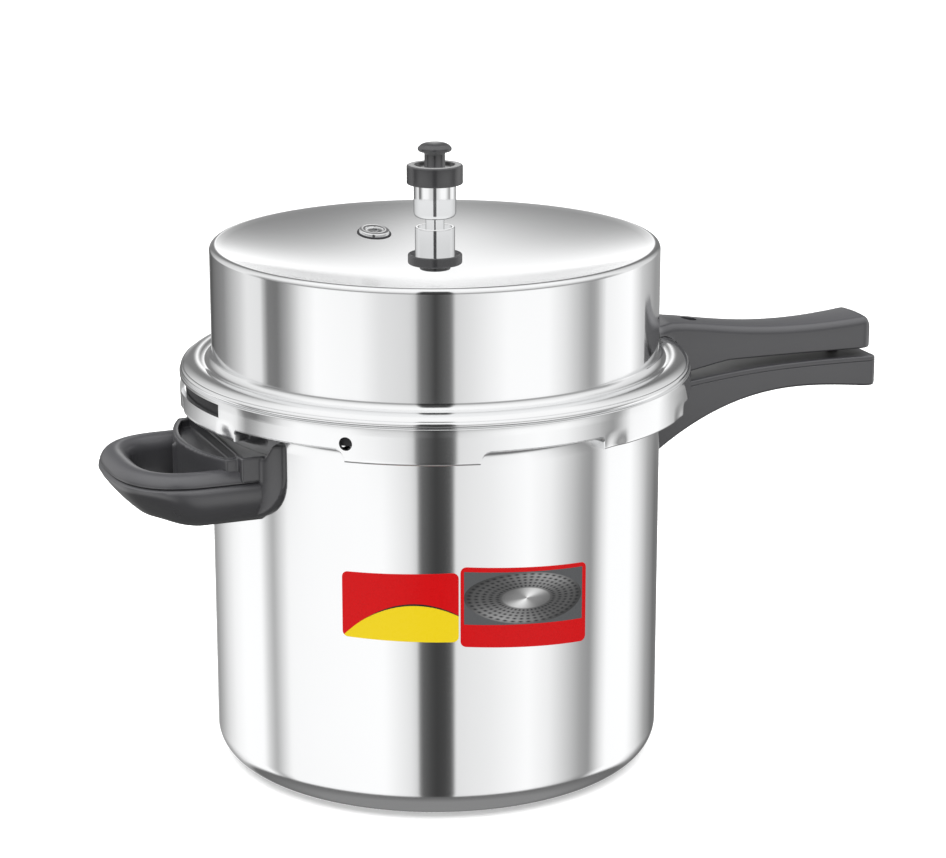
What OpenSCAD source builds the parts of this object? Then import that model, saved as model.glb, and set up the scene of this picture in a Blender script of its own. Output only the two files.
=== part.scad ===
// Stovetop pressure cooker with an outer bayonet lid.
// Millimetres, +Z up, origin at the centre of the base's underside.
// +X runs along the two long handles, -X through the short helper handle.

/* [Pot] */
// Outside diameter of the pot wall
pot_d = 250; // [244:1:256]
// Height of the pot's rim above the stove
pot_h = 211; // [205:1:220]
// Thickness of the pot wall
pot_wall = 3.2; // [2.8:0.1:3.6]
// Outside radius of the corner between wall and bottom
pot_corner = 16; // [12:1:18]
// Thickness of the bonded steel base disc
base_t = 3; // [2:0.5:4]

/* [Lid] */
// Sheet thickness of the lid
lid_t = 2.5; // [2:0.1:2.8]
// Height of the lid's top edge above the stove
lid_top = 292; // [285:1:300]
// Depth of the dished top at its centre
dish = 16; // [8:1:17]
// Radius of the dome's shoulder
shoulder = 3; // [3:0.5:6]
// Angle that one notch in the skirt spans
notch_deg = 29; // [28:0.5:30]
// Angle that one lug on the pot's rim spans
lug_deg = 26; // [22:0.5:26]

/* [Handles] */
// Distance from the pot's axis to the long handles' tips
handle_reach = 271; // [262:1:280]
// Greatest half width of the long handles
grip_half = 16.5; // [14:0.5:18]
// Distance from the pot's axis to the helper handle's tip
helper_reach = 190; // [186:1:194]
// Half width of the helper handle's loop
helper_half = 52; // [48:1:56]

/* [Regulator] */
// Diameter of the chrome weight
weight_d = 23.4; // [22:0.2:24]
// Diameter of the chrome cup
cup_d = 22; // [21:0.5:23]
// Diameter of the weight's black collar
collar_d = 31; // [29:0.5:32]
// Diameter of the finger knob
knob_d = 18.8; // [16:0.2:20]

/* [Hidden] */
$fn = 128;

// Colours
aluminium = [0.80, 0.81, 0.82];
steel = [0.62, 0.63, 0.65];
chrome = [0.86, 0.87, 0.88];
phenolic = [0.27, 0.27, 0.28];
rubber = [0.10, 0.10, 0.11];
sticker_red = [0.80, 0.10, 0.11];
fuse_grey = [0.45, 0.46, 0.48];

// Pot
pot_r = pot_d / 2;
pot_in = pot_r - pot_wall;
floor_z = 6.5;
pot_bottom_z = 1;
corner_c = [pot_r - pot_corner, pot_corner + pot_bottom_z];
inner_corner = pot_corner - pot_wall;
rim_t = 3.5;
rim_r = pot_r + 4.8;
lug_r = pot_r + 12.4;
base_r = pot_r - pot_corner - 1;

// Bayonet: three lugs on the pot's rim, each over a plain lobe of the skirt. A turn of 30 degrees
// brings them to the notches, against the dimples of the lobes in between.
lugs = 3;
pitch = 360 / lugs;
lug_mid = 4;
lobe_half = 14.4;
notch_end = lobe_half + notch_deg;
dimple_deg = [notch_end + 0.6, notch_end + 6.2];
notch_top = pot_h - 1.5;

// Lid
skirt_r = pot_r + 16.8;
skirt_in = skirt_r - lid_t;
skirt_z = pot_h - 7.7;
flange_z = pot_h + 11;
edge_r = 2.5;
lip_t = 2.7;
lip_r = pot_r + 5.8;
dome_r = pot_r - 1;
foot_r = 4.2;
foot_c = [dome_r + foot_r, flange_z + 7 + foot_r];
groove = [skirt_r - 6.9, flange_z + 2.9];
crest_r = dome_r - shoulder;
seat_r = 9;
seat_z = lid_top - dish;
dish_deg = atan(2 * dish / (crest_r - seat_r));
dish_r = crest_r - shoulder * sin(dish_deg);
dish_rise = dish - shoulder * (1 - cos(dish_deg));
vent_hole_r = 5;
window_z = [pot_h + 2.8, flange_z - 1.1];
window_deg = [154, 195];

// Gasket
gasket_z = [pot_h + 0.4, pot_h + 8];
gasket_r = [pot_r + 2.5, skirt_in - 0.8];
gasket_lip = 2.2;

// Safety plug, seated square to the dished top
plug_at = 77;
plug_deg = 96;
plug_d = 17.6;
plug_stem_r = 5;
plug_washer_t = 1;
plug_head_t = 1.8;

// Brackets: a curved saddle against the wall and a flat tongue into the handle
tongue_t = 3;
saddle_t = 1.6;
body_tongue_z = 192;
body_rivet_z = 176;
lid_tongue_z = 217;
helper_tongue_z = 176;
helper_rivet_z = 187;
rivet_r = 2.5;
rivet_deg = 5.5;
screw_r = 2.4;
screw_head_r = 4.2;
body_screw_x = pot_r + 34;
lid_screw_x = pot_r + 31;
helper_screw_x = pot_r + 12;

// Regulator, from the seat on the lid's centre up
hub_h = 3;
base_floor = hub_h + 2;
base_h = 8.7;
base_lip = 1.8;
cup_floor_t = 1.6;
cup_h = 23.6;
seat_h = 15;
neck_r = 5.15;
weight_lo = 29;
weight_hi = 47.6;
collar_hi = 58.2;
collar_floor = 55.8;
knob_lo = 65.4;
knob_edge = 3.4;
knob_hi = 70.6;
rest_gap = 0.3;

// --- Curves -----------------------------------------------------------------

// Points on an arc about c, from angle a0 to a1
function arc(c, r, a0, a1, n = 10) =
    [for (i = [0:n]) let (a = a0 + (a1 - a0) * i / n) c + r * [cos(a), sin(a)]];

// Points after p on a bead from p to q that stands h proud to the left of q to p
function bead(p, q, h, n = 8) =
    let (d = q - p, up = [d[1], -d[0]] / norm(d))
    [for (i = [1:n]) let (t = i / n) p + d * t + up * h * sin(180 * t)];

// Points on a cubic Bezier curve
function bezier(a, b, c, d, n = 12) =
    [for (i = [0:n]) let (t = i / n, s = 1 - t)
        s * s * s * a + 3 * s * s * t * b + 3 * s * t * t * c + t * t * t * d];

function reverse(list) = [for (i = [len(list) - 1:-1:0]) list[i]];
function flip_y(list) = [for (p = list) [p[0], -p[1]]];

// Height of the dished top's outer face at radius r, and its slope in degrees. The dish is a parabola
// that starts level at the seat and meets the shoulder's arc at dish_deg.
function top_z(r) = seat_z + dish_rise * pow((r - seat_r) / (dish_r - seat_r), 2);
function top_slope(r) = atan(2 * dish_rise * (r - seat_r) / pow(dish_r - seat_r, 2));
function dish_path(drop, n = 24) =
    [for (i = [n:-1:0]) let (r = seat_r + (dish_r - seat_r) * i / n) [r, top_z(r) - drop]];

// --- Building blocks --------------------------------------------------------

// Part of a ring between two radii, two heights and two angles
module sector(r, z, a) {
    rotate([0, 0, a[0]])
        rotate_extrude(angle = a[1] - a[0])
            translate([r[0], z[0]]) square([r[1] - r[0], z[1] - z[0]]);
}

// Rod along a radius at height z and angle a, between two radii
module radial_rod(r, z, a, rod_r) {
    rotate([0, 0, a]) translate([r[0], 0, z]) rotate([0, 90, 0]) cylinder(r = rod_r, h = r[1] - r[0]);
}

// Places its children on the dished top, square to it
module on_top(r, a) {
    rotate([0, 0, a]) translate([r, 0, top_z(r)]) rotate([0, -top_slope(r), 0]) children();
}

// Two rivets along radii, through a wall between r_in and r_out, with domed outer heads
module rivet_pair(r_in, r_out, z, a) {
    head_t = 1.6;
    for (side = [-1, 1]) {
        radial_rod([r_in, r_out + 0.2], z, a + side * rivet_deg, rivet_r);
        rotate([0, 0, a + side * rivet_deg]) translate([r_out, 0, z]) rotate([0, 90, 0])
            rotate_extrude() polygon(concat([[0, 0], [4.4, 0]], bead([4.4, 0.3], [0, head_t], 0.5)));
    }
}

module rivet_holes(r_in, r_out, z, a) {
    for (side = [-1, 1]) radial_rod([r_in, r_out], z, a + side * rivet_deg, rivet_r);
}

// Cross-recessed screw, head up, the underside of its head at z = 0
module screw(length) {
    difference() {
        union() {
            translate([0, 0, -length]) cylinder(r = screw_r, h = length);
            cylinder(r = screw_head_r, h = 1.4);
            translate([0, 0, 1.4]) cylinder(r1 = screw_head_r, r2 = 3, h = 1.2);
        }
        for (a = [0, 90]) rotate([0, 0, a]) translate([-2.2, -0.5, 1]) cube([4.4, 1, 3]);
    }
}

// Screw that goes up from its seat at (x, z0) to z1
module screw_up(x, z0, z1) {
    translate([x, 0, z0]) mirror([0, 0, 1]) screw(z1 - z0);
}

// Saddle on a wall of radius r_wall with a tongue that reaches out to x
module bracket(r_wall, z, half_deg, tongue_z, reach, tongue_half) {
    sector([r_wall, r_wall + saddle_t], z, [-half_deg, half_deg]);
    difference() {
        translate([r_wall - 5, -tongue_half, tongue_z])
            cube([reach - r_wall + 5, 2 * tongue_half, tongue_t]);
        translate([0, 0, tongue_z - 1]) cylinder(r = r_wall + saddle_t / 2, h = tongue_t + 2);
    }
}

module tongue_slot(r_wall, tongue_z, reach, tongue_half) {
    play = 0.2;
    translate([r_wall - 5, -tongue_half - play, tongue_z - play])
        cube([reach - r_wall + 5 + play, 2 * (tongue_half + play), tongue_t + 2 * play]);
}

// --- Pot --------------------------------------------------------------------

module pot_body() {
    profile = concat(
        [[0, pot_bottom_z + 2], [base_r, pot_bottom_z + 2], [base_r, pot_bottom_z]],
        arc(corner_c, pot_corner, -90, 0, 14),
        [[pot_r, pot_h - rim_t], [rim_r, pot_h - rim_t]],
        arc([rim_r - 1, pot_h - 1], 1, 0, 90, 5),
        arc([pot_in + 1, pot_h - 1], 1, 90, 180, 5),
        arc([pot_in - inner_corner, floor_z + inner_corner], inner_corner, 0, -90, 12),
        [[0, floor_z]]
    );
    color(aluminium) difference() {
        union() {
            rotate_extrude() polygon(profile);
            at_lugs()
                sector([pot_r + 1, lug_r], [pot_h - rim_t, pot_h - 0.4], [-lug_deg / 2, lug_deg / 2]);
        }
        rivet_holes(pot_r - 5, pot_r + 2, body_rivet_z, 0);
        rivet_holes(pot_r - 5, pot_r + 2, helper_rivet_z, 180);
    }
}

module base_plate() {
    color(steel) rotate_extrude() polygon([
        [0, 0], [base_r - 1.8, 0], [base_r - 0.8, 1], [base_r - 0.8, base_t], [0, base_t]
    ]);
}

// Sticker on the wall between two angles. Its low and high edges run from their first height to their
// second, and its corners are round.
module sticker(a, low, high) {
    skin = [pot_r + 0.02, pot_r + 0.25];
    round_r = 3;
    mid = (a[0] + a[1]) / 2;
    half = pot_r * sin((a[1] - a[0]) / 2);
    corners = [[-half, low[0]], [half, low[1]], [half, high[1]], [-half, high[0]]];
    inset = [[1, 1], [-1, 1], [-1, -1], [1, -1]];
    outline = [for (i = [0:3])
        each arc(corners[i] + round_r * inset[i], round_r, 180 + 90 * i, 270 + 90 * i, 5)];
    color(sticker_red) intersection() {
        sector(skin, [80, 160], a + [-1, 1]);
        rotate([0, 0, mid]) rotate([90, 0, 90]) linear_extrude(height = pot_d) polygon(outline);
    }
}

module label_left() {
    sticker([-134.3, -105.6], [103, 102.5], [139, 140.5]);
}

module label_right() {
    sticker([-105.2, -71.5], [99.6, 93.5], [143.5, 137.7]);
}

// --- Long handle of the pot -------------------------------------------------

body_tongue_reach = pot_r + 55;
body_screw_seat = 184;

module body_bracket() {
    color(steel) difference() {
        bracket(pot_r, [166, 199], 9, body_tongue_z, body_tongue_reach, 7);
        rivet_holes(pot_r - 5, pot_r + 5, body_rivet_z, 0);
        translate([body_screw_x, 0, 180]) cylinder(r = screw_r + 0.2, h = 20);
    }
}

module body_bracket_rivets() {
    color(steel) rivet_pair(pot_in, pot_r + saddle_t, body_rivet_z, 0);
}

// Plan outline of a long grip, from x0 to the rounded tip
module grip_plan(x0, tip) {
    corner = 8;
    side = concat(
        bezier([x0, grip_half + 1], [x0 + 32, grip_half - 4.5],
               [x0 + 72, grip_half - 4.5], [tip - corner, grip_half]),
        arc([tip - corner, grip_half - corner], corner, 80, 0, 8)
    );
    polygon(concat(side, reverse(flip_y(side))));
}

// Side outline (x, z) extruded across and cut to the plan
module grip(side_path, x0, tip) {
    intersection() {
        rotate([90, 0, 0]) linear_extrude(height = 60, center = true) polygon(side_path);
        linear_extrude(height = 400) grip_plan(x0, tip);
    }
}

module body_handle() {
    x0 = pot_r + 1.9;
    tip = handle_reach + 1;
    top = bezier([x0 + 16, 200.2], [x0 + 48, 203], [x0 + 68, 206.6], [tip - 7, 205.9]);
    nose = concat(arc([tip - 4, 201.9], 4, 90, 0, 5), arc([tip - 3, 190.5], 3, 0, -90, 5));
    under = bezier([tip - 8, 187.8], [x0 + 95, 192.4], [x0 + 58, 197], [x0, 160], 16);
    color(phenolic) difference() {
        union() {
            grip(concat([[x0 - 3, 199.6]], top, nose, under, [[x0 - 3, 158]]), x0 - 4, tip);
            stop_nub(tip);
        }
        cylinder(r = x0, h = 300);
        tongue_slot(pot_r, body_tongue_z, body_tongue_reach, 7);
        for (side = [-1, 1]) radial_rod([pot_r, pot_r + 4.2], body_rivet_z, side * rivet_deg, 5);
        translate([body_screw_x, 0, 150]) cylinder(r = screw_r + 0.2, h = body_tongue_z - 148);
        translate([body_screw_x, 0, 150]) cylinder(r = screw_head_r + 0.4, h = body_screw_seat - 150);
    }
}

// Wedge on the pot handle's far side, under the lid handle
module stop_nub(tip) {
    translate([tip - 26, grip_half - 3, 204]) rotate([90, 0, 0])
        linear_extrude(height = 5) polygon([[0, 0], [15, 0], [12, 7.6], [7, 7.6]]);
}

module body_handle_screw() {
    color(steel) screw_up(body_screw_x, body_screw_seat, body_tongue_z + tongue_t);
}

// --- Helper handle ----------------------------------------------------------

helper_tongue_reach = pot_r + 16;
helper_screw_seat = 173;

module helper_bracket() {
    color(steel) rotate([0, 0, 180]) difference() {
        bracket(pot_r, [169, 192], 11, helper_tongue_z, helper_tongue_reach, 9);
        rivet_holes(pot_r - 5, pot_r + 5, helper_rivet_z, 0);
        translate([helper_screw_x, 0, 160]) cylinder(r = screw_r + 0.2, h = 30);
    }
}

module helper_bracket_rivets() {
    color(steel) rivet_pair(pot_in, pot_r + saddle_t, helper_rivet_z, 180);
}

// Outline of the loop in plan, inset by d: straight sides and a rounded tip
module helper_plan(d) {
    round_r = 30;
    c = [helper_reach - round_r, helper_half - round_r];
    side = concat(
        [[pot_r - 30, helper_half - d]],
        arc(c, round_r - d, 90, 14, 10),
        [[helper_reach - d, 0]]
    );
    polygon(concat(side, reverse(flip_y(side))));
}

// Outline of the raised mound between the wall and the opening, inset by d
module mound_plan(d) {
    bow_r = 90;
    face = pot_r + 23.5;
    intersection() {
        translate([face - bow_r, 0]) circle(r = bow_r - d);
        translate([pot_r - 30, d - helper_half + 3]) square([80, 2 * (helper_half - 3 - d)]);
    }
}

module helper_handle() {
    x0 = pot_r + 1.9;
    tip = helper_reach;
    low = 157;
    loop_top = 187;
    mound_top = 193;
    block_low = 181;
    block_top = 194;
    shelf = pot_r + 4.5;
    flange_top = 200;
    side = [
        [x0 - 30, low], [tip - 38, low], [tip - 18, low + 6], [tip, low + 20],
        [tip, loop_top - 4], [tip - 4, loop_top], [x0 - 30, loop_top]
    ];
    color(phenolic) rotate([0, 0, 180]) difference() {
        union() {
            intersection() {
                rotate([90, 0, 0])
                    linear_extrude(height = 2 * helper_half + 4, center = true) polygon(side);
                linear_extrude(height = 300) helper_plan(0);
            }
            translate([0, 0, low + 1]) linear_extrude(height = mound_top - low - 1) mound_plan(0);
            translate([0, -helper_half, block_low])
                cube([shelf, 2 * helper_half, block_top - block_low]);
            helper_flange([x0 - 0.5, x0 + 6.5], [low + 3, flange_top], 29.6);
        }
        cylinder(r = x0, h = 300);
        translate([0, 0, low - 5]) linear_extrude(height = 60) difference() {
            helper_plan(17);
            mound_plan(0);
            translate([0, -helper_half]) square([shelf, 2 * helper_half]);
        }
        translate([0, 0, mound_top - 4]) linear_extrude(height = 10) difference() {
            mound_plan(4);
            translate([0, -helper_half]) square([shelf, 2 * helper_half]);
        }
        tongue_slot(pot_r, helper_tongue_z, helper_tongue_reach, 9);
        for (side_y = [-1, 1])
            radial_rod([pot_r, pot_r + 4.2], helper_rivet_z, side_y * rivet_deg, 5);
        translate([helper_screw_x, 0, 150]) cylinder(r = screw_r + 0.2, h = helper_tongue_z - 148);
        translate([helper_screw_x, 0, 150]) cylinder(r = screw_head_r + 0.4, h = helper_screw_seat - 150);
    }
}

// The two ends of the handle's foot along the wall, with round lower corners
module helper_flange(r, z, half_deg) {
    half = r[1] * sin(half_deg);
    round_r = 16;
    rise = concat(
        arc([half - round_r, z[0] + round_r], round_r, -90, 0, 8),
        [[half, z[1]], [half - 22, z[1]], [half - 22, z[0]]]
    );
    for (side_y = [-1, 1]) intersection() {
        sector(r, z, [-half_deg, half_deg]);
        rotate([90, 0, 90]) linear_extrude(height = pot_d)
            polygon([for (q = rise) [side_y * q[0], q[1]]]);
    }
}

module helper_screw() {
    color(steel) rotate([0, 0, 180])
        screw_up(helper_screw_x, helper_screw_seat, helper_tongue_z + tongue_t);
}

// --- Lid --------------------------------------------------------------------

// Repeats its children at each lug
module at_lugs() {
    for (i = [0:lugs - 1]) rotate([0, 0, lug_mid + i * pitch]) children();
}

// Repeats its children on both sides of each lug
module at_lug_sides() {
    at_lugs() for (side = [0, 1]) mirror([0, side, 0]) children();
}

// Notch in the skirt beside a plain lobe, its top corner at the lobe rounded
module notch() {
    round_r = 6;
    r = [pot_r + 4, skirt_r + 2];
    low = skirt_z - 2;
    corner_deg = round_r / skirt_r * 180 / PI;
    sector(r, [low, notch_top], [lobe_half + corner_deg, notch_end]);
    rotate([0, 0, lobe_half + corner_deg]) translate([r[0], 0, 0]) rotate([90, 0, 90])
        linear_extrude(height = r[1] - r[0]) polygon(concat(
            [[3, low], [3, notch_top]],
            arc([0, notch_top - round_r], round_r, 90, 180, 6),
            [[-round_r, low]]
        ));
}

module lid_shell() {
    outer = concat(
        [[skirt_r, skirt_z]],
        arc([skirt_r - edge_r, flange_z - edge_r], edge_r, 0, 90, 6),
        bead([skirt_r - edge_r, flange_z], groove, 0.9),
        bead(groove, [foot_c[0] + 1, foot_c[1] - foot_r - 0.3], 0.8),
        arc(foot_c, foot_r, -90, -180, 8),
        arc([crest_r, lid_top - shoulder], shoulder, 0, 90 + dish_deg, 12),
        dish_path(0),
        [[vent_hole_r, seat_z]]
    );
    inner = concat(
        [[vent_hole_r, seat_z - lid_t]],
        reverse(dish_path(lid_t)),
        arc([crest_r, lid_top - shoulder], shoulder - lid_t, 90 + dish_deg, 0, 4),
        arc(foot_c, foot_r + lid_t, -180, -90, 8),
        arc([skirt_in - 2, flange_z - lid_t - 1.5], 2, 60, 0, 4),
        [[skirt_in, skirt_z + lip_t], [lip_r, skirt_z + lip_t], [lip_r, skirt_z]]
    );
    color(aluminium) difference() {
        union() {
            difference() {
                rotate_extrude() polygon(concat(outer, inner));
                on_top(plug_at, plug_deg) translate([0, 0, -10]) cylinder(r = plug_stem_r + 0.2, h = 12);
            }
            at_lug_sides()
                sector([skirt_in - 1.6, skirt_in + 0.8], [skirt_z + 1, notch_top - 0.4],
                       dimple_deg + [0.3, -0.3]);
        }
        at_lug_sides() notch();
        at_lug_sides() sector([skirt_r - 1, skirt_r + 1], [skirt_z - 1, notch_top - 0.8], dimple_deg);
        sector([skirt_in - 0.3, skirt_r + 2], window_z, window_deg);
        radial_rod([skirt_in - 1, skirt_r + 2], pot_h + 2.4, -130, 3.6);
        rivet_holes(skirt_in - 1, skirt_r + 2, lid_rivet_z, 0);
    }
}

module gasket() {
    r0 = gasket_r[0];
    r1 = gasket_r[1];
    z0 = gasket_z[0];
    z1 = gasket_z[1];
    color(rubber) rotate_extrude() polygon([
        [r0, z0], [r1, z0], [r1, z1], [r0 + 4, z1], [r0 + 4, z1 - gasket_lip],
        [r1 - 2.4, z1 - gasket_lip], [r1 - 2.4, z0 + gasket_lip], [r0, z0 + gasket_lip]
    ]);
}

// --- Long handle of the lid -------------------------------------------------

lid_rivet_z = 213.5;
lid_tongue_reach = pot_r + 70;
lid_screw_seat = lid_tongue_z + 9;

module lid_bracket() {
    color(steel) difference() {
        bracket(skirt_r, [208.6, flange_z - 1.5], 9, lid_tongue_z, lid_tongue_reach, 7);
        rivet_holes(skirt_in - 1, skirt_r + 5, lid_rivet_z, 0);
        translate([lid_screw_x, 0, 200]) cylinder(r = screw_r + 0.2, h = 30);
    }
}

module lid_bracket_rivets() {
    color(steel) rivet_pair(skirt_in, skirt_r + saddle_t, lid_rivet_z, 0);
}

module lid_handle() {
    tip = handle_reach - 2;
    x0 = pot_r + 4.6;
    saddle = skirt_r + saddle_t + 0.3;
    top = bezier([x0 + 9, flange_z + 14], [x0 + 38, flange_z + 12],
                 [x0 + 66, flange_z + 1], [tip - 6, flange_z + 7.5]);
    nose = concat(arc([tip - 5, flange_z + 2.2], 5, 90, 0, 5), arc([tip - 3, 215.8], 3, 0, -90, 5));
    color(phenolic) difference() {
        grip(concat([[x0, flange_z + 8.6], [x0 + 2, flange_z + 12.6]], top, nose,
                    [[x0 + 46, 212.8], [x0 + 22, 209], [x0, 208]]), x0 - 1, tip);
        rotate_extrude() polygon([
            [0, 190], [saddle, 190], [saddle, flange_z - 0.4], [skirt_r - 2, flange_z + 1.8],
            [groove[0], groove[1] + 1.6], [foot_c[0] + 1.4, foot_c[1] - 2.7], [0, foot_c[1] - 2.7]
        ]);
        tongue_slot(skirt_r, lid_tongue_z, lid_tongue_reach, 7);
        for (side = [-1, 1]) radial_rod([skirt_r, skirt_r + 4.4], lid_rivet_z, side * rivet_deg, 5.2);
        translate([lid_screw_x, 0, lid_tongue_z]) cylinder(r = screw_r + 0.2, h = 30);
        translate([lid_screw_x, 0, lid_screw_seat]) cylinder(r = screw_head_r + 0.4, h = 30);
    }
}

module lid_handle_screw() {
    color(steel) translate([lid_screw_x, 0, lid_screw_seat]) screw(lid_screw_seat - lid_tongue_z);
}

// --- Safety plug ------------------------------------------------------------

module plug_washer() {
    color(rubber) on_top(plug_at, plug_deg) difference() {
        cylinder(r = plug_d / 2 + 1.1, h = plug_washer_t);
        translate([0, 0, -1]) cylinder(r = plug_stem_r + 0.2, h = 4);
    }
}

module plug_body() {
    head_top = plug_washer_t + plug_head_t;
    color(chrome) on_top(plug_at, plug_deg) difference() {
        rotate_extrude() polygon(concat(
            [[0, -10], [plug_stem_r, -10], [plug_stem_r, plug_washer_t], [plug_d / 2, plug_washer_t]],
            arc([plug_d / 2 - 0.9, head_top - 0.9], 0.9, 0, 90, 5),
            [[5.6, head_top], [5, head_top - 0.6], [0, head_top - 0.6]]
        ));
        translate([0, 0, -11]) cylinder(r = 2, h = 20);
    }
}

module plug_fuse() {
    low = -9.5;
    high = plug_washer_t + plug_head_t - 0.9;
    color(fuse_grey) on_top(plug_at, plug_deg) translate([0, 0, low]) cylinder(r = 1.99, h = high - low);
}

// Hexagon nut with a plain hole of radius r, its top face at z = 0
module hex_nut(across_flats, r, h) {
    translate([0, 0, -h]) difference() {
        cylinder(d = across_flats / cos(30), h = h, $fn = 6);
        translate([0, 0, -1]) cylinder(r = r, h = h + 2);
    }
}

module plug_nut() {
    color(steel) on_top(plug_at, plug_deg) translate([0, 0, -lid_t]) hex_nut(16, plug_stem_r + 0.02, 5);
}

// --- Vent and regulator weight ----------------------------------------------

// Everything from here is stacked on the seat at the lid's centre
module on_seat() {
    translate([0, 0, seat_z]) children();
}

module vent_washer() {
    color(rubber) on_seat() difference() {
        translate([0, 0, -lid_t - 2]) cylinder(r = 8.5, h = 2);
        translate([0, 0, -20]) cylinder(r = vent_hole_r, h = 40);
    }
}

module vent_nut() {
    color(steel) on_seat() translate([0, 0, -lid_t - 2]) hex_nut(19, vent_hole_r - 0.18, 6.5);
}

module vent_tube() {
    r = vent_hole_r - 0.2;
    shoulder_z = base_floor + cup_floor_t;
    color(steel) on_seat() rotate_extrude() polygon([
        [2, -14], [r, -14], [r, shoulder_z], [7.5, shoulder_z], [7.5, shoulder_z + 2],
        [4.2, shoulder_z + 3], [4.2, seat_h - 1], [3.4, seat_h], [2.6, seat_h], [2, seat_h - 1.2]
    ]);
}

module vent_base() {
    hub_r = 8.5;
    r = collar_d / 2 - 0.5;
    rim_in = cup_d / 2 + 0.2;
    color(phenolic) on_seat() rotate_extrude() polygon(concat(
        [[vent_hole_r, 0], [hub_r, 0], [hub_r, hub_h], [r - 1.2, hub_h]],
        arc([r - 1.2, hub_h + 1.2], 1.2, -60, 0, 4),
        arc([r - 0.8, base_h - 0.8], 0.8, 0, 90, 4),
        [[r - 1.4, base_h], [rim_in, base_h - base_lip], [rim_in, base_floor], [vent_hole_r, base_floor]]
    ));
}

module vent_cup() {
    r = cup_d / 2;
    cup_in = r - 1.8;
    tall = cup_h - base_floor;
    color(chrome) on_seat() translate([0, 0, base_floor]) rotate_extrude() polygon([
        [vent_hole_r, 0], [r, 0], [r, tall - 0.5], [r - 0.5, tall], [cup_in, tall],
        [cup_in, cup_floor_t], [vent_hole_r, cup_floor_t]
    ]);
}

module weight_needle() {
    lo = seat_h + rest_gap;
    color(steel) on_seat() rotate_extrude() polygon([
        [0, seat_h - 3], [0.8, seat_h - 3], [1.6, seat_h - 1.4], [2.6, lo + 0.2], [3.6, lo + 0.2],
        [neck_r, lo + 2], [neck_r, weight_lo + 2], [0, weight_lo + 2]
    ]);
}

module weight_body() {
    r = weight_d / 2;
    color(chrome) on_seat() rotate_extrude() polygon([
        [neck_r, weight_lo], [r - 3, weight_lo], [r - 1.6, weight_lo + 0.7], [r, weight_lo + 4],
        [r, weight_hi], [2, weight_hi], [2, weight_lo + 2], [neck_r, weight_lo + 2]
    ]);
}

module weight_collar() {
    r = collar_d / 2;
    color(phenolic) on_seat() rotate_extrude() polygon(concat(
        [[2, weight_hi], [r - 1, weight_hi]],
        arc([r - 0.8, weight_hi + 0.8], 0.8, -75, 0, 4),
        arc([r - 0.9, collar_hi - 0.9], 0.9, 0, 90, 5),
        [[r * 0.7, collar_hi], [r * 0.7 - 0.5, collar_floor], [2, collar_floor]]
    ));
}

module weight_knob() {
    r = knob_d / 2;
    stem_r = 5.7;
    color(phenolic) on_seat() difference() {
        rotate_extrude() polygon(concat(
            [[0, collar_floor], [stem_r, collar_floor]],
            arc([stem_r + 1.6, knob_lo - 1.6], 1.6, 180, 90, 6),
            [[r - 0.7, knob_lo]],
            arc([r - 1.5, knob_lo + 1.5], 1.5, -60, 60, 6),
            bezier([r - 1.4, knob_lo + knob_edge], [r - 2.6, knob_hi - 0.6], [4, knob_hi], [0, knob_hi], 8)
        ));
        translate([0, 0, collar_floor - 1]) cylinder(r = 2, h = 7);
    }
}

module weight_screw() {
    lo = weight_lo + 2.2;
    color(steel) on_seat() translate([0, 0, lo]) cylinder(r = 1.98, h = collar_floor + 5.6 - lo);
}

pot_body();
base_plate();
label_left();
label_right();
body_bracket();
body_bracket_rivets();
body_handle();
body_handle_screw();
helper_bracket();
helper_bracket_rivets();
helper_handle();
helper_screw();
lid_shell();
gasket();
lid_bracket();
lid_bracket_rivets();
lid_handle();
lid_handle_screw();
plug_body();
plug_fuse();
plug_washer();
plug_nut();
vent_tube();
vent_washer();
vent_nut();
vent_base();
vent_cup();
weight_needle();
weight_body();
weight_collar();
weight_knob();
weight_screw();
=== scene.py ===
"""Looks of the stovetop pressure cooker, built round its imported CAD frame.

Metres throughout, +Z up. The pot's axis is the world's Z axis, and the long handles point along +X.
"""

import math

import bmesh
import bpy
from mathutils import Matrix, Vector


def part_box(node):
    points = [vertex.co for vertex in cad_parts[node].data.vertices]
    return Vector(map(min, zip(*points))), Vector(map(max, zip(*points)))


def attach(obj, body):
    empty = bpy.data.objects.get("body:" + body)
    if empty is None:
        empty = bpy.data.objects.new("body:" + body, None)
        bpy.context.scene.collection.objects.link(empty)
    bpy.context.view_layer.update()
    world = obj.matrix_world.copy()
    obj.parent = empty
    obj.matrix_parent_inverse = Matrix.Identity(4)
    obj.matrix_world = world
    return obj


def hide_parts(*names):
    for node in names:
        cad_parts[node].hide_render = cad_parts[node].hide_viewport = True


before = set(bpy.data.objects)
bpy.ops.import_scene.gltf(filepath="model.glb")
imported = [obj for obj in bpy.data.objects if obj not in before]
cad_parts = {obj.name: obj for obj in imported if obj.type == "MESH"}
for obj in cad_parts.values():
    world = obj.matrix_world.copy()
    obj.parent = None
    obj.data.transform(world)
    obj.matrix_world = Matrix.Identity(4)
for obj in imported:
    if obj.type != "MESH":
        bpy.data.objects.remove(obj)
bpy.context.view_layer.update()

MM = 0.001


# --- Sizes, from the frame ----------------------------------------------------

pot_low, pot_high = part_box("pot_body")
lid_low, lid_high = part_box("lid_shell")
seat_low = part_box("vent_base")[0]
tip_low, tip_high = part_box("lid_handle")
grip_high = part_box("body_handle")[1]
help_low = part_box("helper_handle")[0]

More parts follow.
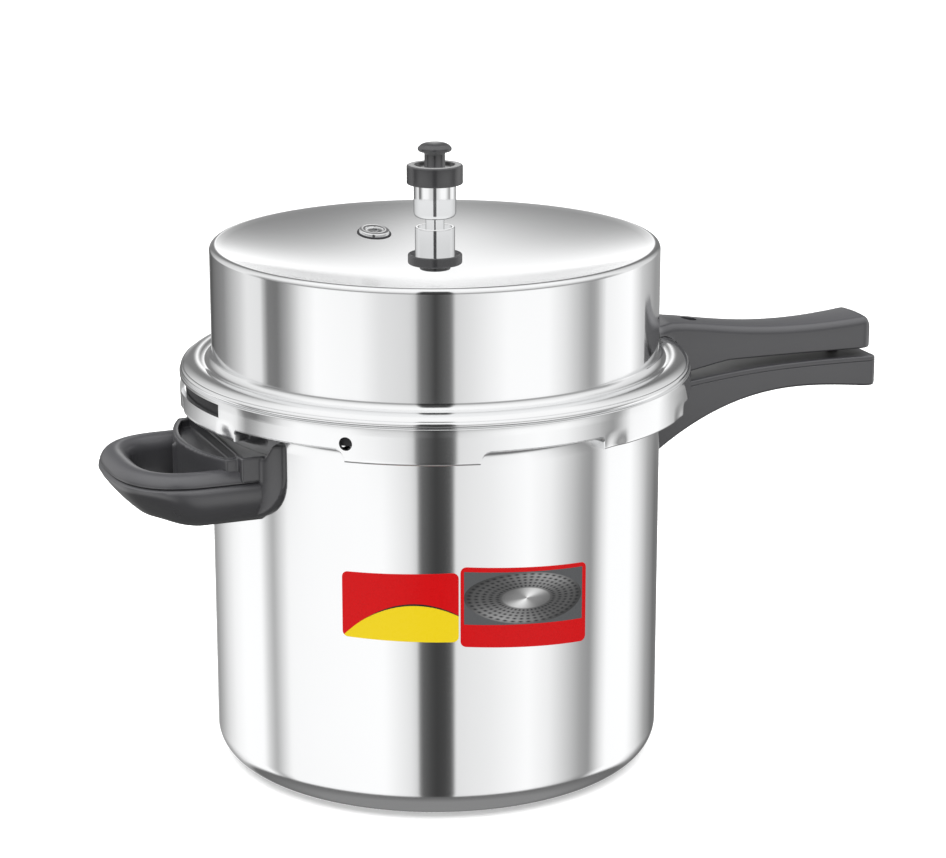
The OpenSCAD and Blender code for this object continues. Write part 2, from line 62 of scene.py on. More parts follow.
# Pot
POT_TOP = pot_high.z
POT_R = lid_high.x - 16.8 * MM
POT_IN = POT_R - 3.2 * MM
POT_BOTTOM = pot_low.z
CORNER_R = 16 * MM
BASE_R = POT_R - CORNER_R - 1 * MM
FLOOR_Z = 6.5 * MM
RIM_R = POT_R + 4.8 * MM
RIM_T = 3.5 * MM
NECK_Z = POT_TOP - 13 * MM
NECK_H = POT_TOP - RIM_T - NECK_Z
NECK_OUT = 2.4 * MM
LUG_R = POT_R + 12.4 * MM

# Bayonet: three lugs on the pot's rim, and a plain lobe of the lid's skirt over each. Degrees.
LUG_MID = 4
PITCH = 120
LUG_HALF = 13
LOBE_HALF = 14.4
NOTCH_END = 43.4
DIMPLE_MID = NOTCH_END + 3.4
DIMPLE_HALF = 3.6

# Lid
LID_TOP = lid_high.z
LID_T = 2.5 * MM
SKIRT_R = lid_high.x
SKIRT_IN = SKIRT_R - LID_T
SKIRT_Z = lid_low.z
NOTCH_TOP = POT_TOP - 1.5 * MM
SKIRT_EDGE = 1.2 * MM
LIP_R = POT_R + 5.8 * MM
LIP_T = 2.7 * MM
FLANGE_Z = POT_TOP + 11 * MM
STEP_Z = FLANGE_Z + 1 * MM
CROWN_R = 8.2 * MM
CROWN = (SKIRT_R - 8.6 * MM, STEP_Z - 1.8 * MM)
DOME_R = POT_R - 1 * MM
FOOT_R = 4.2 * MM
FOOT = (DOME_R + FOOT_R, FLANGE_Z + 6 * MM + FOOT_R)
SHOULDER = 3 * MM
CREST_R = DOME_R - SHOULDER
SEAT_R = 9 * MM
SEAT_Z = seat_low.z
DISH = LID_TOP - SEAT_Z
DISH_DEG = math.degrees(math.atan(2 * DISH / (CREST_R - SEAT_R)))
DISH_R = CREST_R - SHOULDER * math.sin(math.radians(DISH_DEG))
DISH_RISE = DISH - SHOULDER * (1 - math.cos(math.radians(DISH_DEG)))
VENT_R = 5 * MM
WINDOW_DEG = (154, 195)
WINDOW_Z = (POT_TOP + 2.8 * MM, FLANGE_Z - 1.1 * MM)
RELIEF_DEG = -130
RELIEF_Z = POT_TOP + 2.4 * MM
RELIEF_R = 3.6 * MM

# Safety plug on the dished top
PLUG_AT = 77 * MM
PLUG_DEG = 96
PLUG_SEAL = 1 * MM
PLUG_HEAD = 1.8 * MM


# --- Curves -------------------------------------------------------------------


def arc(centre, radius, start, end, steps=12):
    """Points on an arc, its angles in degrees."""
    points = []
    for i in range(steps + 1):
        a = math.radians(start + (end - start) * i / steps)
        points.append((centre[0] + radius * math.cos(a), centre[1] + radius * math.sin(a)))
    return points


def bead(p, q, height, steps=12):
    """Points after p on a bead from p to q that stands proud by height."""
    dx, dz = q[0] - p[0], q[1] - p[1]
    length = math.hypot(dx, dz)
    points = []
    for i in range(1, steps + 1):
        t = i / steps
        lift = height * math.sin(math.pi * t) / length
        points.append((p[0] + dx * t + dz * lift, p[1] + dz * t - dx * lift))
    return points


def bezier(a, b, c, d, steps=12):
    """Points on a cubic Bezier curve."""
    points = []
    for i in range(steps + 1):
        t = i / steps
        s = 1 - t
        w = (s * s * s, 3 * s * s * t, 3 * s * t * t, t * t * t)
        points.append(tuple(w[0] * a[k] + w[1] * b[k] + w[2] * c[k] + w[3] * d[k] for k in (0, 1)))
    return points


def height_on(path, x):
    """Second coordinate at x on a path whose first coordinate rises."""
    if x <= path[0][0]:
        return path[0][1]
    for (x0, z0), (x1, z1) in zip(path, path[1:]):
        if x <= x1:
            return z0 + (z1 - z0) * (x - x0) / (x1 - x0)
    return path[-1][1]


def smoothstep(low, high, x):
    """0 up to low, 1 from high, smooth between them."""
    t = min(max((x - low) / (high - low), 0), 1)
    return t * t * (3 - 2 * t)


def scaled(points, dx=0, dz=0):
    """Points given in millimetres, as metres, after a shift in metres."""
    return [(x * MM + dx, z * MM + dz) for x, z in points]


def from_lug(angle):
    """Degrees from the nearest lug's middle, without its sign."""
    return abs((angle - LUG_MID + PITCH / 2) % PITCH - PITCH / 2)


# --- Mesh building ------------------------------------------------------------


def new_object(name, verts, faces, sharp=35):
    """A smooth-shaded mesh object, sharp where faces meet at more than sharp degrees."""
    mesh = bpy.data.meshes.new(name)
    mesh.from_pydata([tuple(v) for v in verts], [], faces)
    obj = bpy.data.objects.new(name, mesh)
    bpy.context.scene.collection.objects.link(obj)
    clean(obj, sharp)
    return obj


def clean(obj, sharp=35):
    """Welds the mesh, turns its faces outwards and sets its shading."""
    work = bmesh.new()
    work.from_mesh(obj.data)
    bmesh.ops.remove_doubles(work, verts=work.verts, dist=1e-6)
    bmesh.ops.dissolve_degenerate(work, dist=1e-7, edges=work.edges)
    bmesh.ops.recalc_face_normals(work, faces=work.faces)
    work.to_mesh(obj.data)
    work.free()
    obj.data.polygons.foreach_set("use_smooth", [True] * len(obj.data.polygons))
    obj.data.set_sharp_from_angle(angle=math.radians(sharp))


def even_angles(steps):
    return [360 * i / steps for i in range(steps)]


def lathe(name, profile_at, angles, sharp=35):
    """Skin of revolution about Z. profile_at(angle) gives the (radius, z) points there, always as many.
    A profile that ends off the axis is a closed ring."""
    rings = [profile_at(angle) for angle in angles]
    n = len(rings[0])
    open_ends = abs(rings[0][0][0]) < 1e-9 and abs(rings[0][-1][0]) < 1e-9
    verts, faces = [], []
    for angle, ring in zip(angles, rings):
        c, s = math.cos(math.radians(angle)), math.sin(math.radians(angle))
        verts += [(r * c, r * s, z) for r, z in ring]
    for i in range(len(angles)):
        j = (i + 1) % len(angles)
        for k in range(n - 1 if open_ends else n):
            m = (k + 1) % n
            faces.append((i * n + k, j * n + k, j * n + m, i * n + m))
    return new_object(name, verts, faces, sharp)


def turned(name, profile, steps=96, sharp=35):
    """Skin of revolution with the same profile all round."""
    return lathe(name, lambda angle: profile, even_angles(steps), sharp)


def band(name, start, end, z_low, z_high, r_in, r_out, steps=24):
    """A curved block about Z between two angles, two heights and two radii."""
    verts, faces = [], []
    for i in range(steps + 1):
        a = math.radians(start + (end - start) * i / steps)
        for r, z in ((r_in, z_low), (r_out, z_low), (r_out, z_high), (r_in, z_high)):
            verts.append((r * math.cos(a), r * math.sin(a), z))
    for i in range(steps):
        for k in range(4):
            m = (k + 1) % 4
            faces.append((4 * i + k, 4 * i + 4 + k, 4 * i + 4 + m, 4 * i + m))
    last = 4 * steps
    faces.append((0, 1, 2, 3))
    faces.append((last + 3, last + 2, last + 1, last))
    return new_object(name, verts, faces)


def loft(name, rings, sharp=35):
    """Skin over closed rings of points, with a fan over each end."""
    n = len(rings[0])
    verts = [p for ring in rings for p in ring]
    faces = []
    for i in range(len(rings) - 1):
        for k in range(n):
            m = (k + 1) % n
            faces.append((i * n + k, i * n + m, (i + 1) * n + m, (i + 1) * n + k))
    for base, ring in ((0, rings[0]), ((len(rings) - 1) * n, rings[-1])):
        verts.append(tuple(sum(p[k] for p in ring) / n for k in range(3)))
        faces += [(base + k, base + (k + 1) % n, len(verts) - 1) for k in range(n)]
    return new_object(name, verts, faces, sharp)


def reshaped(obj, matrix):
    """Moves the mesh itself, so that the object stays at the origin."""
    obj.data.transform(matrix)
    return obj


def joined(objects):
    """The first object, with the meshes of the others added to it."""
    work = bmesh.new()
    for obj in objects:
        work.from_mesh(obj.data)
    work.to_mesh(objects[0].data)
    work.free()
    for obj in objects[1:]:
        bpy.data.objects.remove(obj)
    return objects[0]


def applied(obj):
    """obj with its modifiers applied to its mesh."""
    bpy.context.view_layer.update()
    graph = bpy.context.evaluated_depsgraph_get()
    mesh = bpy.data.meshes.new_from_object(obj.evaluated_get(graph))
    obj.modifiers.clear()
    obj.data = mesh
    return obj


def combined(obj, tool, operation, sharp=35):
    """obj after a Boolean with tool, which is removed."""
    modifier = obj.modifiers.new("combine", "BOOLEAN")
    modifier.object = tool
    modifier.operation = operation
    modifier.solver = "EXACT"
    applied(obj)
    bpy.data.objects.remove(tool)
    clean(obj, sharp)
    return obj


def rod(name, radius, low, high, steps=40):
    """A plain cylinder on Z, for cutting."""
    return turned(name, [(0, low), (radius, low), (radius, high), (0, high)], steps)


def radial(angle, z):
    """Turns +Z to point outwards from the axis at an angle, from a height."""
    return (
        Matrix.Rotation(math.radians(angle), 4, "Z")
        @ Matrix.Translation((0, 0, z))
        @ Matrix.Rotation(math.radians(90), 4, "Y")
    )


# --- Materials ----------------------------------------------------------------


class Graph:
    """Adds nodes to a material or to the world, in front of the node that gives its looks."""

    def __init__(self, tree, last):
        self.tree = tree
        self.last = tree.nodes[last]

    def new(self, kind):
        return self.tree.nodes.new("ShaderNode" + kind)

    def fill(self, node, inputs):
        """node, with its inputs set to constants, colours or the outputs of other nodes."""
        for key, value in inputs.items():
            socket = node.inputs[key]
            if isinstance(value, bpy.types.NodeSocket):
                self.tree.links.new(value, socket)
            elif isinstance(value, tuple):
                socket.default_value = (*value, 1)[:len(socket.default_value)]
            else:
                socket.default_value = value
        return node

    def look(self, **inputs):
        """Sets inputs of the last node, with _ for a space in their names."""
        self.fill(self.last, {key.replace("_", " "): value for key, value in inputs.items()})

    def place(self):
        """The shaded place, in the object's own coordinates."""
        return self.new("TexCoord").outputs["Object"]

    def geometry(self, output):
        return self.new("NewGeometry").outputs[output]

    def parts(self, vector):
        """x, y and z of a vector."""
        return self.fill(self.new("SeparateXYZ"), {0: vector}).outputs

    def vector(self, *values):
        return self.fill(self.new("CombineXYZ"), dict(enumerate(values))).outputs[0]

    def math(self, operation, *values):
        node = self.new("Math")
        node.operation = operation
        return self.fill(node, dict(enumerate(values))).outputs[0]

    def length(self, a, b):
        squares = [self.math("MULTIPLY", value, value) for value in (a, b)]
        return self.math("SQRT", self.math("ADD", *squares))

    def above(self, value, limit):
        """1 where value is above limit."""
        return self.math("GREATER_THAN", value, limit)

    def waves(self, value, rate):
        """A sine of value, between 0 and 1."""
        return self.math("MULTIPLY_ADD", self.math("SINE", self.math("MULTIPLY", value, rate)), 0.5, 0.5)

    def ramp(self, value, stops):
        """Ramp of (position, grey level) stops."""
        node = self.new("ValToRGB")
        elements = node.color_ramp.elements
        while len(elements) < len(stops):
            elements.new(0.5)
        for element, (position, level) in zip(elements, stops):
            element.position = position
            element.color = (level, level, level, 1)
        return self.fill(node, {0: value}).outputs[0]

    def noise(self, vector, scale, detail=2.0, roughness=0.5):
        inputs = {"Vector": vector, "Scale": scale, "Detail": detail, "Roughness": roughness}
        return self.fill(self.new("TexNoise"), inputs).outputs["Fac"]

    def mapped(self, value, low, high):
        """value from 0..1 spread over low..high."""
        return self.fill(self.new("MapRange"), {"Value": value, "To Min": low, "To Max": high}).outputs[0]

    def mixed(self, factor, a, b):
        """Colour mix of two sockets or colours."""
        node = self.new("Mix")
        node.data_type = "RGBA"
        return self.fill(node, {0: factor, 6: a, 7: b}).outputs[2]

    def multiplied(self, a, b):
        result = self.mixed(1.0, a, b)
        result.node.blend_type = "MULTIPLY"
        return result

    def bump(self, height, strength, distance):
        inputs = {"Height": height, "Strength": strength, "Distance": distance}
        return self.fill(self.new("Bump"), inputs).outputs[0]

    def turn(self):
        """(radius, angle, z) of the shaded place about the pot's axis."""
        x, y, z = self.parts(self.geometry("Position"))
        return self.length(x, y), self.math("ARCTAN2", y, x), z

    def round_direction(self):
        """The direction that turning marks run in."""
        node = self.new("VectorMath")
        node.operation = "CROSS_PRODUCT"
        return self.fill(node, {0: (0, 0, 1), 1: self.geometry("Position")}).outputs[0]


def new_material(name, colour, metallic, roughness, **constants):
    """A principled material with constant values on the shader's own sockets, and its graph."""
    made = bpy.data.materials.new(name)
    made.use_nodes = True
    g = Graph(made.node_tree, "Principled BSDF")
    g.look(Base_Color=colour, Metallic=metallic, Roughness=roughness, **constants)
    return made, g


def darker(colour, share):
    return tuple(share * c for c in colour)


def spun_metal(name, colour, roughness, spread, anisotropy, groove, dull_top=0.0):
    """Metal turned and polished on a lathe: fine rings about the axis, soft smudges and a long highlight."""
    made, g = new_material(name, colour, 1.0, roughness, Anisotropic=anisotropy, Anisotropic_Rotation=0.25)
    radius, angle, z = g.turn()
    rings = g.vector(g.math("ADD", radius, z), g.math("MULTIPLY", angle, 0.004), 0.0)
    fine = g.noise(rings, 2600, 3.0, 0.6)
    coarse = g.noise(rings, 420, 2.0)
    smudge = g.noise(g.place(), 14, 3.0, 0.55)
    rough = g.math("ADD", g.mapped(fine, roughness - spread, roughness + spread),
                   g.mapped(smudge, -0.6 * spread, 0.6 * spread))
    if dull_top:
        level = g.new("MapRange")
        level.interpolation_type = "SMOOTHSTEP"
        up = g.parts(g.geometry("Normal"))[2]
        g.fill(level, {"Value": up, "From Min": 0.75, "From Max": 0.95, "To Max": dull_top})
        rough = g.math("ADD", rough, level.outputs[0])
    both = g.math("ADD", fine, g.math("MULTIPLY", coarse, 1.5))
    g.look(
        Base_Color=g.mixed(g.mapped(smudge, 0.0, 1.0), darker(colour, 0.97), colour),
        Roughness=rough,
        Normal=g.bump(both, groove, 0.00003),
        Tangent=g.round_direction(),
    )
    return made


def plain_metal(name, colour, roughness, spread, grain):
    """Pressed or plated metal with faint marks that follow no axis."""
    made, g = new_material(name, colour, 1.0, roughness)
    place = g.place()
    marks = g.noise(place, 900, 4.0, 0.6)
    g.look(
        Base_Color=g.mixed(g.noise(place, 60, 2.0), darker(colour, 0.93), colour),
        Roughness=g.mapped(marks, roughness - spread, roughness + spread),
        Normal=g.bump(marks, grain, 0.00004),
    )
    return made


def moulded(name, colour, edge_highlight, roughness, grain, specular=0.5):
    """Moulded phenolic or rubber: fine grain, cloudy gloss and a painted highlight, a lighter colour on
    convex edges.
    """
    made, g = new_material(name, colour, 0.0, roughness, Specular_IOR_Level=specular)
    place = g.place()
    pores = g.noise(place, 1500, 3.0, 0.6)
    clouds = g.noise(place, 45, 3.0)
    flow = g.noise(place, 160, 2.0)
    # Painted highlight: convex edges get a lighter colour, standing in for the light that ridges catch
    edge_highlight_mask = g.ramp(g.geometry("Pointiness"), [(0.53, 0.0), (0.62, 1.0)])
    shade = g.mixed(g.mapped(clouds, 0.0, 1.0), darker(colour, 0.88), colour)
    height = g.math("ADD", pores, g.math("MULTIPLY", flow, 1.2))
    g.look(
        Base_Color=g.mixed(edge_highlight_mask, shade, edge_highlight),
        Roughness=g.mapped(clouds, roughness - 0.07, roughness + 0.07),
        Normal=g.bump(height, grain, 0.00008),
    )
    return made


def base_material():
    """Steel disc with rings of small bonding holes, painted dark inside as painted shade."""
    made, g = new_material("base_steel", (0.55, 0.55, 0.56), 1.0, 0.34)
    radius, angle = g.turn()[:2]
    pitch = 0.0072
    ring = g.math("DIVIDE", radius, pitch)
    index = g.math("ROUND", ring)
    off = g.math("SUBTRACT", ring, index)
    count = g.math("MULTIPLY", index, 6.0)
    turn = g.math("DIVIDE", g.math("MULTIPLY", angle, count), 2 * math.pi)
    side = g.math("SUBTRACT", turn, g.math("ROUND", turn))
    hole = g.ramp(g.length(off, side), [(0.16, 0.0), (0.26, 1.0)])
    grain = g.noise(g.place(), 500, 3.0)
    plain = g.mixed(grain, (0.42, 0.42, 0.43), (0.58, 0.58, 0.59))
    # The holes are painted dark grey: painted shade, since they are only a bump with no depth
    g.look(
        Base_Color=g.mixed(hole, (0.12, 0.12, 0.13), plain),
        Roughness=g.mapped(grain, 0.28, 0.42),
        Normal=g.bump(hole, 0.5, 0.0004),
    )
    return made


# Stickers on the wall: their colours, and the angles that each runs between
RED = (0.66, 0.006, 0.008)
YELLOW = (0.85, 0.64, 0.015)
LABEL_GREY = (0.1, 0.103, 0.107)
LABEL_BLACK = (0.02, 0.02, 0.022)
LEFT_DEG = (-134.3, -105.6)
RIGHT_DEG = (-105.2, -71.5)


def label_coordinates(g, node_name, start, end, fall=0.0):
    """(u, v) over a label whose edges fall to the right: u grows to the right from its start angle,
    v up from its lower edge."""
    low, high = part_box(node_name)
    height = high.z - low.z - fall
    angle, z = g.turn()[1:]
    u = g.math("DIVIDE", g.math("SUBTRACT", angle, math.radians(start)), math.radians(end - start))
    level = g.math("MULTIPLY_ADD", u, fall, z)
    v = g.math("DIVIDE", g.math("SUBTRACT", level, low.z + fall), height)
    return u, v


def label_material(name):
    """A sticker's material and graph, and its red."""
    made, g = new_material(name, RED, 0.0, 0.28, Specular_IOR_Level=0.12)
    grain = g.noise(g.place(), 300, 2.0)
    g.look(Roughness=g.mapped(grain, 0.22, 0.34))
    return made, g, g.mixed(grain, darker(RED, 0.9), RED)


def left_label_material():
    made, g, red = label_material("label_red_yellow")
    u, v = label_coordinates(g, "label_left", *LEFT_DEG)
    # The yellow field ends in a flat arch, with a thin dark line along its crest
    off = g.math("SUBTRACT", u, 0.64)
    square = g.math("MULTIPLY", off, off)
    arch = g.math("MULTIPLY_ADD", square, 1.2, v)
    line = g.math("MULTIPLY_ADD", square, 0.12, arch)
    field = g.mixed(g.above(arch, 0.53), YELLOW, LABEL_BLACK)
    g.look(Base_Color=g.mixed(g.above(line, 0.556), field, red))
    return made


def right_label_material():
    made, g, red = label_material("label_red_disc")
    u, v = label_coordinates(g, "label_right", *RIGHT_DEG, 6 * MM)
    # Distance from the disc's middle, with the disc drawn as wide as the field
    dx = g.math("MULTIPLY", g.math("SUBTRACT", u, 0.49), 2.15)
    dy = g.math("MULTIPLY", g.math("SUBTRACT", v, 0.62), 3.1)
    far = g.length(dx, dy)
    turn = g.math("ARCTAN2", dy, dx)
    dots = g.math("MULTIPLY", g.waves(far, 56.0), g.waves(turn, 44.0))
    dots = g.math("MULTIPLY", dots, g.above(far, 0.42))
    # Two bright wedges, as a turned disc shows them
    fan = g.math("ABSOLUTE", g.math("COSINE", g.math("SUBTRACT", turn, 1.15)))
    fan = g.math("POWER", fan, 5.0)
    dull = g.ramp(far, [(0.0, 0.3), (0.4, 0.14), (0.42, 0.09), (0.8, 0.1), (1.0, 0.05)])
    bright = g.ramp(far, [(0.0, 0.95), (0.38, 0.6), (0.42, 0.2), (0.9, 0.34), (1.0, 0.2)])
    disc = g.mixed(dots, g.mixed(fan, dull, bright), LABEL_BLACK)
    inside = g.mixed(g.above(far, 1.0), disc, LABEL_GREY)
    field = g.math("MULTIPLY", g.above(u, 0.025), g.above(v, 0.29))
    for value, limit in ((u, 0.965), (v, 0.95)):
        field = g.math("MULTIPLY", field, g.math("LESS_THAN", value, limit))
    g.look(Base_Color=g.mixed(field, red, inside))
    return made


aluminium = spun_metal("spun_aluminium", (0.92, 0.925, 0.93), 0.1, 0.02, 0.8, 0.08, dull_top=0.035)
chrome = spun_metal("chrome", (0.88, 0.885, 0.89), 0.05, 0.01, 0.0, 0.02)
plug_metal = plain_metal("plug_metal", (0.86, 0.865, 0.87), 0.12, 0.03, 0.05)
steel = plain_metal("steel", (0.62, 0.625, 0.63), 0.3, 0.06, 0.15)
fuse_metal = plain_metal("fuse_metal", (0.36, 0.37, 0.38), 0.42, 0.05, 0.2)
phenolic = moulded("phenolic", (0.05, 0.05, 0.054), (0.13, 0.13, 0.135), 0.3, 0.1, 0.9)
collar_black = moulded("collar_phenolic", (0.036, 0.036, 0.038), (0.08, 0.08, 0.085), 0.2, 0.05, 0.8)
rubber = moulded("rubber", (0.018, 0.018, 0.02), (0.03, 0.03, 0.032), 0.62, 0.3)


def finish_piece(obj, body, material, slot, *nodes):
    """Gives a new piece its material and body, and hides the CAD nodes it stands for. Its slot is not used.
    """
    obj.data.materials.clear()
    obj.data.materials.append(material)
    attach(obj, body)
    if nodes:
        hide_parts(*nodes)
    return obj


# --- Pot ----------------------------------------------------------------------


def make_pot():
    inner = CORNER_R - (POT_R - POT_IN)
    low = [(0, POT_BOTTOM + 2 * MM), (BASE_R, POT_BOTTOM + 2 * MM), (BASE_R, POT_BOTTOM)]
    wall = arc((POT_R - CORNER_R, POT_BOTTOM + CORNER_R), CORNER_R, -90, 0, 20)
    inside = arc((POT_IN + 1 * MM, POT_TOP - 1 * MM), 1 * MM, 90, 180, 6)
    inside += arc((POT_IN - inner, FLOOR_Z + inner), inner, 0, -90, 16) + [(0, FLOOR_Z)]

    def profile(angle):
        reach = LUG_R - RIM_R
        lug = 1 - smoothstep(LUG_HALF - 0.9, LUG_HALF, from_lug(angle))
        rim = RIM_R + reach * lug
        edge = []
        for i in range(10):
            out = NECK_OUT * (1 - math.sqrt(1 - (i / 10) ** 2))
            edge.append((POT_R + out, NECK_Z + NECK_H * i / 10))
        edge.append((POT_R + NECK_OUT, POT_TOP - RIM_T))
        edge += arc((rim - 0.7 * MM, POT_TOP - RIM_T + 0.7 * MM), 0.7 * MM, -90, 0, 4)
        top = POT_TOP - 0.4 * MM * lug
        edge += arc((rim - 1 * MM, top - 1 * MM), 1 * MM, 0, 90, 6)
        edge += [(RIM_R - 1.2 * MM, top), (RIM_R - 1.6 * MM, POT_TOP)]
        return low + wall + edge + inside

    angles = sorted(
        {round(1.25 * i, 3) for i in range(288)}
        | {
            round((LUG_MID + k * PITCH + side * (LUG_HALF - 0.15 * j)) % 360, 3)
            for k in range(3) for side in (-1, 1) for j in range(7)
        }
    )
    return finish_piece(lathe("pot_shell", profile, angles), "pot", aluminium, "aluminium", "pot_body")


# --- Lid ----------------------------------------------------------------------


def dish_height(r):
    """Height of the dished top, a parabola, at a radius."""
    return SEAT_Z + DISH_RISE * ((r - SEAT_R) / (DISH_R - SEAT_R)) ** 2


def dish_slope(r):
    """Slope of the dished top in degrees."""
    return math.degrees(math.atan(2 * DISH_RISE * (r - SEAT_R) / (DISH_R - SEAT_R) ** 2))


def dish_points(drop, steps=28):
    """The dished top from its crest to its seat, lowered by drop."""
    points = []
    for i in range(steps, -1, -1):
        r = SEAT_R + (DISH_R - SEAT_R) * i / steps
        points.append((r, dish_height(r) - drop))
    return points


def skirt_bottom(angle):
    """Height of the skirt's lower edge: the notches have a round corner at each end."""
    mm_per_degree = SKIRT_R * math.pi / 180
    into = min(from_lug(angle) - LOBE_HALF, NOTCH_END - from_lug(angle)) * mm_per_degree
    if into <= 0:
        return SKIRT_Z
    near_lug = from_lug(angle) - LOBE_HALF < NOTCH_END - from_lug(angle)
    corner = 6 * MM if near_lug else 2.6 * MM
    if into >= corner:
        return NOTCH_TOP
    drop = corner - math.sqrt(corner ** 2 - (corner - into) ** 2)
    return max(NOTCH_TOP - drop, SKIRT_Z)


def dimple(angle, z):
    """How far the skirt is pressed in at the end of a notch."""
    side = max(0, 1 - ((from_lug(angle) - DIMPLE_MID) / DIMPLE_HALF) ** 2)
    return 0.6 * MM * side * side * (1 - smoothstep(SKIRT_Z + 2 * MM, SKIRT_Z + 10 * MM, z))


def flange_path():
    """Points from the skirt's top inwards: a crease, a thin bead, a second crease and a broad crown."""
    path = arc((SKIRT_R - 0.5 * MM, STEP_Z - 0.7 * MM), 0.5 * MM, 0, 80, 4)
    path += [(SKIRT_R - 1.1 * MM, STEP_Z)]
    path += bead((SKIRT_R - 1 * MM, STEP_Z + 0.2 * MM), (SKIRT_R - 1.4 * MM, STEP_Z + 3 * MM), 0.55 * MM, 10)
    return path + [(SKIRT_R - 2.1 * MM, STEP_Z + 3.1 * MM)] + arc(CROWN, CROWN_R, 38, 112, 20)


def lid_profile(angle):
    bottom = skirt_bottom(angle)
    lip = LIP_R if bottom < NOTCH_TOP - 2 * MM else SKIRT_IN
    lip_top = min(bottom + LIP_T, NOTCH_TOP + 1 * MM)
    wall_low = NOTCH_TOP + 1.6 * MM
    heights = [wall_low + (FLANGE_Z - 2.5 * MM - wall_low) * i / 6 for i in range(6)]
    outside = arc((SKIRT_R - SKIRT_EDGE, bottom + SKIRT_EDGE), SKIRT_EDGE, -90, 0, 6)
    outside += [(SKIRT_R, bottom + (wall_low - bottom) * f) for f in (0.3, 0.6)]
    outside += [(SKIRT_R, z) for z in heights]
    outside += flange_path()
    outside += arc(FOOT, FOOT_R, -90, -180, 12)
    outside += arc((CREST_R, LID_TOP - SHOULDER), SHOULDER, 0, 90 + DISH_DEG, 18)
    outside += dish_points(0)[1:] + [(VENT_R, SEAT_Z)]
    inside = [(VENT_R, SEAT_Z - LID_T)] + dish_points(LID_T)[::-1]
    inside += arc((CREST_R, LID_TOP - SHOULDER), SHOULDER - LID_T, 90 + DISH_DEG, 0, 12)[1:]
    inside += arc(FOOT, FOOT_R + LID_T, -180, -90, 8)
    inside += arc((SKIRT_IN - 2 * MM, FLANGE_Z - LID_T - 1.5 * MM), 2 * MM, 60, 0, 5)
    inside += [(SKIRT_IN, z) for z in heights[4::-1]]
    inside += [(SKIRT_IN, lip_top), (lip, lip_top), (lip, bottom)]
    pressed = []
    for r, z in outside + inside:
        on_skirt = r > SKIRT_IN - 1 * MM and z < NOTCH_TOP + 8 * MM
        pressed.append((r - dimple(angle, z), z) if on_skirt else (r, z))
    return pressed


def on_top(r, angle):
    """Places +Z square to the dished top at a radius and an angle."""
    return (
        Matrix.Rotation(math.radians(angle), 4, "Z")
        @ Matrix.Translation((r, 0, dish_height(r)))
        @ Matrix.Rotation(math.radians(-dish_slope(r)), 4, "Y")
    )


def lid_angles():
    """Angles of the lid's sections, close together at the notches' ends and over the dimples."""
    found = {round(1.25 * i, 3) for i in range(288)}
    for k in range(3):
        for side in (-1, 1):
            for start, end, step in ((LOBE_HALF - 0.1, LOBE_HALF + 2.7, 0.14),
                                     (NOTCH_END - 1.3, NOTCH_END + 0.1, 0.1),
                                     (NOTCH_END, NOTCH_END + 7.2, 0.45)):
                n = round((end - start) / step)
                for i in range(n + 1):
                    found.add(round((LUG_MID + k * PITCH + side * (start + step * i)) % 360, 3))
    kept = []
    for angle in sorted(found):
        if not kept or angle - kept[-1] > 0.04:
            kept.append(angle)
    return kept


def make_lid():
    lid = lathe("lid_dome", lid_profile, lid_angles())
    window = band("window_tool", *WINDOW_DEG, *WINDOW_Z, SKIRT_IN - 1 * MM, SKIRT_R + 2 * MM, 40)
    combined(lid, window, "DIFFERENCE")
    relief = rod("relief_tool", RELIEF_R, SKIRT_IN - 1 * MM, SKIRT_R + 2 * MM)
    combined(lid, reshaped(relief, radial(RELIEF_DEG, RELIEF_Z)), "DIFFERENCE")
    plug_hole = rod("plug_tool", 5.2 * MM, -8 * MM, 3 * MM)
    combined(lid, reshaped(plug_hole, on_top(PLUG_AT, PLUG_DEG)), "DIFFERENCE")
    return finish_piece(lid, "lid", aluminium, "aluminium", "lid_shell")


# --- Safety plug --------------------------------------------------------------


def make_plug():
    washer_t = PLUG_SEAL
    washer_r = 9.9 * MM
    washer = turned("plug_seal", [(5.2 * MM, 0), (washer_r, 0)]
                    + arc((washer_r - 0.5 * MM, washer_t - 0.5 * MM), 0.5 * MM, 0, 90, 5)
                    + [(5.2 * MM, washer_t)], 64)
    finish_piece(reshaped(washer, on_top(PLUG_AT, PLUG_DEG)), "lid", rubber, "rubber", "plug_washer")
    top = PLUG_SEAL + PLUG_HEAD
    r = 8.8 * MM
    head = turned("plug_head", [(2 * MM, -10 * MM), (5 * MM, -10 * MM), (5 * MM, washer_t), (r, washer_t)]
                  + arc((r - 1 * MM, top - 1 * MM), 1 * MM, 0, 90, 8)
                  + bead((r - 1 * MM, top), (5.6 * MM, top), 0.15 * MM, 6)
                  + arc((5 * MM, top - 0.2 * MM), 0.5 * MM, 20, -60, 4)
                  + [(3.6 * MM, top - 0.7 * MM), (2.6 * MM, top - 0.3 * MM), (2 * MM, top - 0.5 * MM)], 72)
    finish_piece(reshaped(head, on_top(PLUG_AT, PLUG_DEG)), "lid", plug_metal, "chrome", "plug_body")


# --- Vent and regulator weight ------------------------------------------------


def regulator_piece(name, profile, body, material, slot, node, steps=96):
    """A turned piece of the regulator from a profile in millimetres above the lid's seat."""
    return finish_piece(turned(name, scaled(profile, 0, SEAT_Z), steps), body, material, slot, node)


